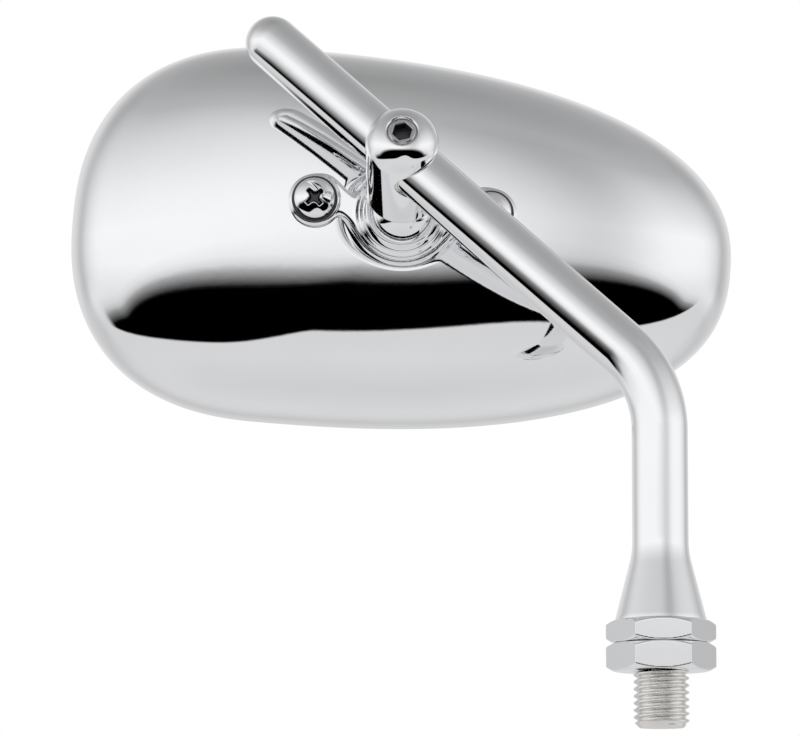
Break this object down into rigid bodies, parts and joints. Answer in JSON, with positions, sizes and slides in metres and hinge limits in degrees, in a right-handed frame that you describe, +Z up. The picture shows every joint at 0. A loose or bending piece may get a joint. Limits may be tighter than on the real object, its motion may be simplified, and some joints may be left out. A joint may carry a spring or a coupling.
{
  "type": "motorcycle mirror",
  "caption": "Rear-view mirror with an egg-shaped plated head on a ball joint, a swivel post that slides and turns on a bent round stem, and a threaded foot with a lock nut.",
  "frame": {"origin": "centre of the lock nut's seating face, on the axis of the threaded foot", "axes": "+Z up along the foot, -Y towards the plated back of the head, +Y towards the glass, -X towards the head's blunt end"},
  "size_m": [0.1264, 0.0761, 0.1341],
  "materials": {
    "chrome": "bright chrome plate over polished steel",
    "steel": "plain bright steel",
    "zinc": "zinc plated steel",
    "nylon": "natural moulded nylon",
    "rubber": "matte black rubber",
    "foam": "dark closed-cell foam",
    "mirror": "silvered float glass"
  },
  "bodies": {
    "stem": {"stem": "chrome", "lock_nut": "chrome"},
    "liner": {"stem_liner": "nylon"},
    "post": {"ball_post": "chrome", "set_screw": "steel"},
    "seat": {"ball_seat": "nylon"},
    "thrust": {"thrust_cup": "steel"},
    "head": {"disc_spring_front": "steel", "disc_spring_rear": "steel", "spring_housing": "zinc", "shell": "chrome", "bracket": "chrome", "screw_left": "chrome", "screw_right": "chrome", "washer_left": "steel", "washer_right": "steel", "nut_left": "zinc", "nut_right": "zinc", "mirror_glass": "mirror", "glass_gasket": "rubber", "backing_pad": "foam"}
  },
  "joints": [
    {"name": "post_slide", "type": "slide", "parent": "stem", "child": "liner", "axis": [-0.7074, 0.2353, 0.6665], "range_m": [-0.036, 0.022]},
    {"name": "post_swing", "type": "hinge", "parent": "liner", "child": "post", "pos_m": [-0.04591, 0.01527, 0.09526], "axis": [-0.7074, 0.2353, 0.6665], "range_deg": [-20, 20]},
    {"name": "head_tilt", "type": "hinge", "parent": "post", "child": "seat", "pos_m": [-0.04591, 0.03555, 0.0881], "axis": [1, 0, 0], "range_deg": [-38, 8]},
    {"name": "head_pan", "type": "hinge", "parent": "seat", "child": "thrust", "pos_m": [-0.04591, 0.03555, 0.0881], "axis": [0, 0, 1], "range_deg": [-14, 14]},
    {"name": "head_roll", "type": "hinge", "parent": "thrust", "child": "head", "pos_m": [-0.04591, 0.03555, 0.0881], "axis": [0, 1, 0], "range_deg": [-25, 25]}
  ]
}
